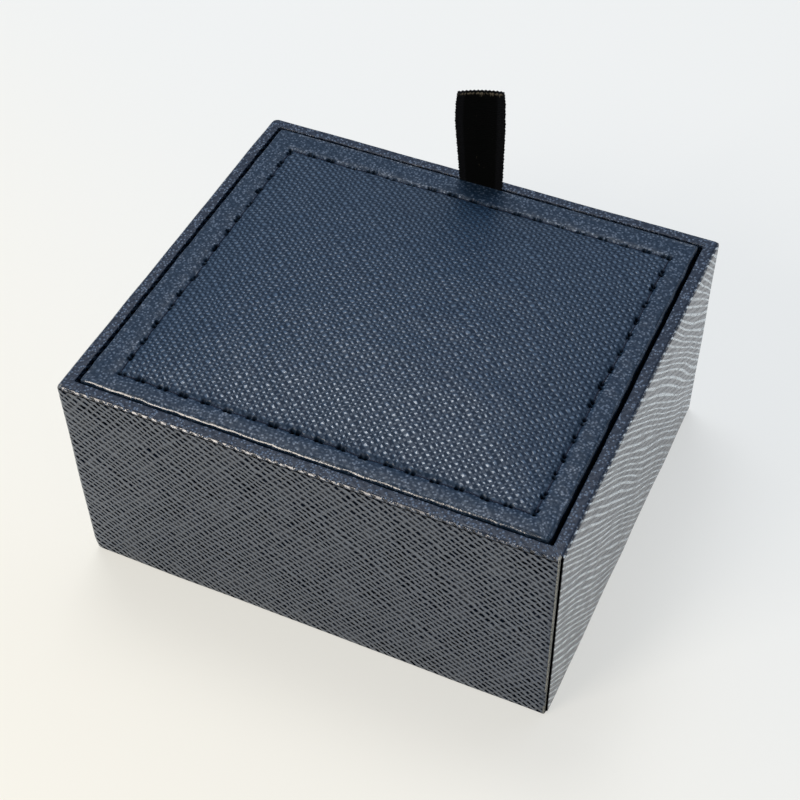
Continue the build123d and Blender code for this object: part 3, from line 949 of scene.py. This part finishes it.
def build_stitches():
    """One tube per stitch, all in one piece."""
    points, faces, grain, count = [], [], [], 0
    for row in needle_rows:
        for a, b in zip(row[:-1], row[1:]):
            share = np.linspace(0.10, 0.90, 15)[:, None]
            flat = a * (1 - share) + b * share
            z = lid_height(flat[:, 0], flat[:, 1])
            z[2:-2] = np.maximum(z[2:-2], z[2:-2].mean() - 0.1) + 0.03
            z[[0, -1]] -= 0.3
            net = tube(np.column_stack([flat, z]), 0.12)
            corners = net_corners(len(flat), net.shape[1], False, True)
            faces.append(corners[..., 0] * net.shape[1] + corners[..., 1] % net.shape[1] + count)
            grain.append(corners[..., ::-1] * (0.13, 0.3))
            points.append(net.reshape(-1, 3))
            count += len(points[-1])
    points, faces, grain = np.concatenate(points), np.concatenate(faces), np.concatenate(grain)
    piece = make_piece("stitches", polyester_thread(), points, faces, grain)
    settle(piece, "lid", "thread", "lid_stitching")


build_stitches()

# %% [markdown]
# ## The ribbon
#
# The pull is a black woven ribbon, doubled and glued under the lid. It comes up through the back gap, stands
# a couple of centimetres high with a slight twist, and folds over at the top. It is one strip of points: up
# the back layer, over the fold and down the front layer. Below the gap it follows the lid, and above it bends
# with the pull.

# %% Ribbon material
def woven_ribbon():
    """Black polyester ribbon: fine ribs across it, a denser selvage along both edges, hardly any shine."""
    material, tree = new_material("woven_polyester_ribbon")
    cloth = add(tree, "UVMap", uv_map="grain")
    place = add(tree, "SeparateXYZ", cloth)
    frayed = add(tree, "Attribute", attribute_name="frayed").outputs["Fac"]
    # ribs 0.35 mm apart, along the ribbon
    rib = maths(tree, "SINE", maths(tree, "MULTIPLY", place.outputs["Y"], 18.0))
    fuzz = noise(tree, cloth, 3.0, 3.0)
    edge = fit(tree, maths(tree, "ABSOLUTE", place.outputs["X"]), 2.5, 2.8)
    light = maths(tree, "MULTIPLY", edge, fuzz)
    colour = tint(tree, light, "#020303", "#17181C")
    # loose fibres hang down from the fold: noise 0.25 mm wide and 1.4 mm long
    fibres = noise(tree, add(tree, "Mapping", cloth, None, None, (4.0, 0.7, 1.0)), 1.0, 2.0)
    loose = maths(tree, "MULTIPLY_ADD", fibres, 1.7, frayed)
    loose = fit(tree, loose, 1.2, 1.5)
    colour = tint(tree, loose, colour, "#5F584B")
    return surface(material, colour, 0.85, 0.08, maths(tree, "MULTIPLY_ADD", fuzz, 1.5, rib), 0.6, 0.04)


# %% Ribbon
RIBBON_LOW, RIBBON_HIGH = node_box("pull_ribbon")
RIBBON_Y, RIBBON_TOP = RIBBON_LOW[1] + (RIBBON_HIGH[1] - RIBBON_LOW[1]) / 2, RIBBON_HIGH[2]
LAYER = 0.11  # how far each of the two layers lies from the ribbon's middle
LEAN = 0.24  # how much further it lies where the ribbon begins to fold
ROOT = 40.6  # the height where the ribbon comes out of the gap
GLUED = 36.27  # the height of the glued end under the lid


def ribbon_path():
    """The ribbon's middle line seen from its edge: depth and height, from under the lid and back again."""
    y, front, back = RIBBON_Y, RIBBON_Y - LAYER, RIBBON_Y + LAYER
    under = [(y - d, GLUED) for d in (7.1, 5.3, 3.3, 1.3, 0.4)] + [(y, 36.4), (back, 36.8)]
    rising = [(back, z) for z in np.arange(37.5, ROOT, 0.5)]
    lean = [(back + LEAN * ((z - ROOT) / 18.0), z) for z in np.arange(ROOT, RIBBON_TOP - 0.45, 0.14)]
    fold = arc((y, RIBBON_TOP - 0.3), 0.30, 0, 180, 13)
    down = [(front - LEAN * ((z - ROOT) / 18.0), z) for _, z in reversed(lean)]
    falling = [(front, z) for _, z in reversed(rising)]
    below = [(y - 0.13, 36.85), (y - 0.4, 36.5)] + [(y - d, GLUED + 2 * LAYER) for d in (1.3, 3.3, 7.1)]
    return np.array(under + rising + lean + fold + down + falling + below)


def strip_along(path, across, half_thickness):
    """A thin closed strip whose edge follows a path of depth and height, first one side, then the other."""
    way = np.gradient(path, axis=0)
    way /= np.linalg.norm(way, axis=1)[:, None]
    left = np.column_stack([-way[:, 1], way[:, 0]]) * half_thickness
    sides = []
    for line, places in ((path + left, across), (path - left, across[::-1])):
        sides.append(np.stack(np.broadcast_arrays(places[None, :], line[:, :1], line[:, 1:]), -1))
    return np.concatenate(sides, 1)


def strip_grain(path, across):
    """The strip's places on the flat cloth."""
    both_sides = np.concatenate([across, across[::-1], across[:1]])
    return np.stack(np.meshgrid(both_sides, run_length(path)), axis=-1)


def build_ribbon():
    """The doubled ribbon, twisted a little, as one closed strip."""
    path, across = ribbon_path(), np.linspace(-1, 1, 53)
    points = strip_along(path, across, 0.1)
    place = points[..., 0].copy()
    share = np.clip((points[..., 2] - ROOT) / (RIBBON_TOP - ROOT), 0, 1)
    width = np.interp(share, [0.0, 0.35, 0.65, 0.88, 1.0], [3.86, 4.00, 4.13, 3.98, 3.72])
    around = points[..., 2] * 2 * math.pi
    ticks = 0.07 * np.sin(around / 0.6) + 0.03 * np.sin(around / 1.7)
    x = place * (width + ticks * (np.abs(place) > 0.99))
    ends = np.clip((share - 0.9) / 0.1, 0, 1)
    arch = 0.30 * (1 - place**2) + 0.09 * np.sin(place * 3.6 * 2 * math.pi / 0.6) - 0.35
    points[..., 2] += arch * ends
    turn = np.radians(22.0) * share**1.2
    depth = points[..., 1] - RIBBON_Y
    depth = depth + 0.25 * np.sin(place * 5.0) * share * (1 - share)
    lean = -0.2 - 0.5 * np.clip(share * 1.4, 0, 1)
    standing = points[..., 2] > 36.9
    spin_x = x * np.cos(turn) - depth * np.sin(turn) + lean
    spin_y = np.where(standing, RIBBON_Y + x * np.sin(turn) + depth * np.cos(turn), points[..., 1])
    points[..., 0] = np.where(standing, spin_x, x + lean)
    points[..., 1] = spin_y
    piece = make_net("ribbon_pull", woven_ribbon(), points, strip_grain(path, across * 3.85))
    below_top = points[..., 2].max(axis=0) - points[..., 2]
    frayed = 0.30 * np.exp(-(((below_top - 0.28) / 0.10) ** 2)) + 0.40 * np.clip(1 - below_top / 1.3, 0, 1)
    front = (np.arange(len(path)) >= path[:, 1].argmax())[:, None]
    carry(piece, frayed=frayed * front * (below_top > 0.15))
    settle(piece, None, "ribbon", "ribbon_anchor", "pull_ribbon")
    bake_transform(piece)


build_ribbon()

# %% [markdown]
# ## The cloth hinge
#
# A strip of black bookbinder's cotton joins the lid to the front wall. It is glued up the inside of the wall,
# folds over at the rim and goes down the lid's edge, all as one strip.

# %% Hinge cloth material
def binding_cotton():
    """Black plain-weave cotton: two crossing sets of threads 0.4 mm apart, matt."""
    material, tree = new_material("woven_binding_cotton")
    place = add(tree, "SeparateXYZ", add(tree, "UVMap", uv_map="grain"))
    ribs = [
        maths(tree, "SINE", maths(tree, "MULTIPLY", place.outputs[axis], 2 * math.pi / 0.8)) for axis in "XY"
    ]
    share = fit(tree, maths(tree, "MULTIPLY", *ribs), -1.0, 1.0)
    return surface(material, tint(tree, share, "#050608", "#101319"), 0.9, 0.15, share, 0.8, 0.06)


# %% Hinge cloth
def build_hinge_cloth():
    """One strip of cloth from the wall over the fold to the lid's edge."""
    wall_low, wall_high = node_box("hinge_tape_wall")
    wall_y, lid_y = wall_low[1] + 0.12, -LID_HALF[1] - 0.13
    middle, radius, top = (wall_y + lid_y) / 2, (lid_y - wall_y) / 2, RIM - 1.5
    path = [(wall_y, z) for z in np.linspace(36.1, top, 9)]
    for angle in np.radians(np.arange(15, 180, 15)):
        path.append((middle - radius * math.cos(angle), top + radius * math.sin(angle)))
    path = np.array(path + [(lid_y, z) for z in np.linspace(top, 36.4, 9)])
    across = np.linspace(wall_low[0], wall_high[0], 69)
    points = strip_along(path, across, 0.1)
    piece = make_net("hinge_cloth", binding_cotton(), points, strip_grain(path, across))
    settle(piece, None, "hinge_cloth", "hinge_tape_wall", "hinge_tape_lid")
    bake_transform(piece)


build_hinge_cloth()

# %% [markdown]
# ## Velvet inside
#
# The lining is flocked velvet: very short upright fibres on a cloth. Its base colour is nearly black, and
# the fibres catch light at a glancing angle, which is what the shader's sheen is for. Slow noise stands for
# the places where the nap has been stroked the other way.

# %% Velvet material
def flocked_velvet():
    """Black flocked velvet: a dark base, a grey-blue sheen and a nap of fine fibres."""
    material, tree = new_material("flocked_velvet")
    cloth = add(tree, "UVMap", uv_map="grain")
    stroked = noise(tree, cloth, 1 / 9.0, 2.0)
    # fibres are a tenth of a millimetre; drawn three times coarser so that they show
    fibre = noise(tree, cloth, 3.0, 3.0)
    tone = maths(tree, "MULTIPLY_ADD", fibre, 0.5, stroked)
    share = fit(tree, tone, 0.5, 1.0)
    return surface(
        material, tint(tree, share, "#0B0C10", "#1B1D24"), 0.95, 0.1, fibre, 0.7, 0.08,
        Sheen_Weight=0.35, Sheen_Roughness=0.4, Sheen_Tint=shade("#8C93A8"),
    )


velvet = flocked_velvet()

# %% [markdown]
# The liners are boards covered in one strip of velvet. It lies over their tops, which are the ledge that
# the lid rests on, and goes down to the floor. Like the wrap it is a net that goes round.

# %% Liner velvet
def build_liner_velvet():
    """Velvet over the ledge and down the liners."""
    low, high = node_box("liner_velvet")
    bay = 1.9
    profile = [(0.05, LEDGE), (0.6, LEDGE), (1.2, LEDGE)] + arc((bay - 0.5, LEDGE - 0.5), 0.5, 90, 0, 6)
    profile += [(bay, z) for z in np.linspace(LEDGE - 0.8, low[2], 12)]
    profile += [(bay - 0.4, low[2]), (bay - 0.4, LEDGE - 0.5), (0.05, LEDGE - 0.4)]
    half = (high[0] - bay, high[1] - bay)
    marks = [side_marks(half[1 - turn % 2], 3.0) for turn in range(4)]
    points = np.array([
        np.column_stack([outline(marks, half, bay - inset, [0.3] * 4), np.full(sum(map(len, marks)), z)])
        for inset, z in profile
    ])
    around, down = run_length(points[0], closed=True), run_length(np.array(profile))
    grain = np.stack(np.meshgrid(around, np.append(down, down[-1] + 0.4)), axis=-1)
    piece = make_net("liner_velvet_strip", velvet, points, grain, True)
    settle(piece, "box", "velvet", "liner_velvet")


build_liner_velvet()

# %% [markdown]
# The insert is a card with foam on it, covered in velvet, with two slots that the cufflinks' toggles drop
# through. The velvet is tucked into the slots, so their lips are soft. The foam and the velvet have the
# same shape, one inside the other, so one function makes both.

# %% Insert cover and foam
def foam_material():
    """Grey polyurethane foam: open cells of about 0.4 mm, matt."""
    material, tree = new_material("polyurethane_foam")
    cloth = add(tree, "UVMap", uv_map="grain")
    cells = add(tree, "TexVoronoi", cloth, 2.5, feature="DISTANCE_TO_EDGE")
    share = fit(tree, cells, 0.0, 0.25)
    return surface(material, tint(tree, share, "#8C8C8A", "#4A4A4A"), 0.95, 0.5, share, 0.8, 0.1)


foam = foam_material()
SLOT_X, SLOT_HALF = 17.0, (2.75, 10.0)  # how far the slots are from the middle, and their half sizes
PAD_CROWN = 0.35  # how much higher a pad's middle is than its edge


def even_lines(cuts, step=0.8):
    """Places for a net's lines, spread evenly between each cut and the next."""
    spans = [np.linspace(a, b, max(4, round((b - a) / step)) + 1) for a, b in zip(cuts, cuts[1:])]
    return np.unique(np.concatenate(spans).round(5))


def build_pad(name, node, inset, top, bottom, material, slot):
    """A slotted pad: gently crowned, round-edged, with soft lips round the slots."""
    low, high = node_box(node)
    half = (high - low)[:2] / 2
    lip, grow = 1.1, 1.9

    def height(x, y):
        crown = PAD_CROWN * (1 - (x / half[0]) ** 2) * (1 - (y / half[1]) ** 2)
        near = np.full(len(x), 9.0)
        for side in (-1, 1):
            dx = np.abs(x - side * SLOT_X) - SLOT_HALF[0]
            dy = np.abs(y) - SLOT_HALF[1]
            near = np.minimum(near, np.hypot(np.maximum(dx, 0), np.maximum(dy, 0)))
        dip = 0.7 * np.exp(-near / 1.2)
        return top - PAD_CROWN + crown - dip + 0.04 * uneven(np.column_stack([x, y]), 8.0, 41)

    slot_x, slot_y = SLOT_HALF[0] + lip, SLOT_HALF[1] + lip
    edges = [s * SLOT_X + t * slot_x for s in (-1, 1) for t in (-1, 1)]
    xs = even_lines(sorted([-half[0] + grow, *edges, half[0] - grow]))
    ys = even_lines([-half[1] + grow, -slot_y, slot_y, half[1] - grow])
    edge = 1.5
    rings = [(grow - edge, None, 0.3)]
    for angle in np.radians([18, 36, 54, 72, 90]):
        fall = edge * (1 - math.cos(angle))
        rings.append((grow - edge + edge * math.sin(angle), top - PAD_CROWN - fall, 1.2))
    rings += [(grow, top - 3, 1.2), (grow, bottom, 1.2), (grow - 0.4, bottom, 0.8)]
    tuck = lip - inset  # how far the slot's walls stand in from the lip
    walls = (
        (0.45, top - 1.0, 0.2), (0.8, top - 1.3, 0.4), (0.95, top - 1.8, 0.5), (1.0, top - 2.5, 0.6),
        (1.0, bottom, 0.6),
    )
    slot_rings = [(-tuck * share, z, radius) for share, z, radius in walls]
    holes = [(s * SLOT_X - slot_x, s * SLOT_X + slot_x, -slot_y, slot_y, slot_rings) for s in (-1, 1)]
    piece, _ = draped(name, material, xs, ys, rings, height, holes)
    settle(piece, "box", slot, node)


build_pad("insert_velvet", "insert_cover", 0.0, 24.1, 17.2, velvet, "velvet")
build_pad("insert_foam_pad", "insert_foam", 0.4, 23.6, 18.7, foam, "foam")

# %% [markdown]
# The lid's own foam lies between its board and its cover. It never shows, but the lid is what it is
# because of it, so it has its real crowned shape. Under the lid is a velvet-covered card.

# %% Lid foam and lining
def build_lid_foam():
    """The crowned foam inside the lid."""
    low, _ = node_box("lid_foam")
    grow = 1.2
    half = LID_HALF - 0.55 - grow
    xs, ys = np.linspace(-half[0], half[0], 91), np.linspace(-half[1], half[1], 77)
    rings = [(grow, 39.3, 0.8), (grow, low[2], 0.8), (-5.0, low[2], 0.5), (-20.0, low[2], 0.5)]

    def height(x, y):
        near_seam = np.exp(-((seam_distance(x, y) / 1.2) ** 2))
        return np.minimum(lid_height(x, y) - 0.55 - 0.8 * near_seam, 43.0)

    piece, _ = draped("lid_foam_pad", foam, xs, ys, rings, height)
    settle(piece, "lid", "foam", "lid_foam")


def build_lid_lining():
    """Velvet over the card under the lid, slightly crowned downwards."""
    low, high = node_box("lid_lining_velvet")
    grow, edge = 1.4, 0.7
    half = high[:2] - grow
    xs, ys = np.linspace(-half[0], half[0], 73), np.linspace(-half[1], half[1], 61)

    def height(x, y):
        crown = 0.15 * (1 - (x / half[0]) ** 2) * (1 - (y / half[1]) ** 2)
        return low[2] + 0.15 - crown + 0.03 * uneven(np.column_stack([x, y]), 7.0, 51)

    rings = [(grow - edge, None, 0.2)]
    for angle in np.radians([22, 45, 67, 90]):
        rise = edge * (1 - math.cos(angle))
        rings.append((grow - edge + edge * math.sin(angle), low[2] + 0.15 + rise, 0.6))
    rings += [(grow, high[2], 0.6)]
    piece, _ = draped("lid_lining_velvet_panel", velvet, xs, ys, rings, height)
    settle(piece, "lid", "velvet", "lid_lining_velvet")


build_lid_foam()
build_lid_lining()

# %% [markdown]
# ## Boards and paper
#
# The walls, base, liners, risers and cards are greyboard, made of pulped waste paper: flat grey-brown with
# darker and lighter flecks. The paper under the base is thin black cover paper. These parts keep their
# solids, and only get a finish. They have no UV map, so their patterns follow the object's own space.

# %% Board and paper materials
def greyboard():
    """Pulped board: flecks of about half a millimetre in a grey-brown ground, and faint layers."""
    material, tree = new_material("pulped_greyboard")
    place = add(tree, "TexCoord").outputs["Object"]
    fleck = noise(tree, place, 1800.0, 3.0)
    slow = noise(tree, place, 150.0, 2.0)
    share = fit(tree, fleck, 0.35, 0.7)
    colour = tint(tree, share, "#77736B", "#A39E93")
    colour = tint(tree, slow, colour, "#8E8A80")
    return surface(material, colour, 0.9, 0.5, fleck, 0.5, 0.05)


def cover_paper():
    """Black cover paper: fine fibres and a faint tooth."""
    material, tree = new_material("black_cover_paper")
    place = add(tree, "TexCoord").outputs["Object"]
    fibre = noise(tree, place, 2500.0, 3.0)
    return surface(material, tint(tree, fibre, "#101114", "#26282D"), 0.8, 0.5, fibre, 0.5, 0.03)


def finish_boards():
    """Gives every solid that is still shown its board or paper."""
    board, paper = greyboard(), cover_paper()
    for name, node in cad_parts.items():
        if not node.hide_render:
            node.data.materials.clear()
            node.data.materials.append(paper if name == "bottom_cover" else board)
            print("finished", name)


finish_boards()
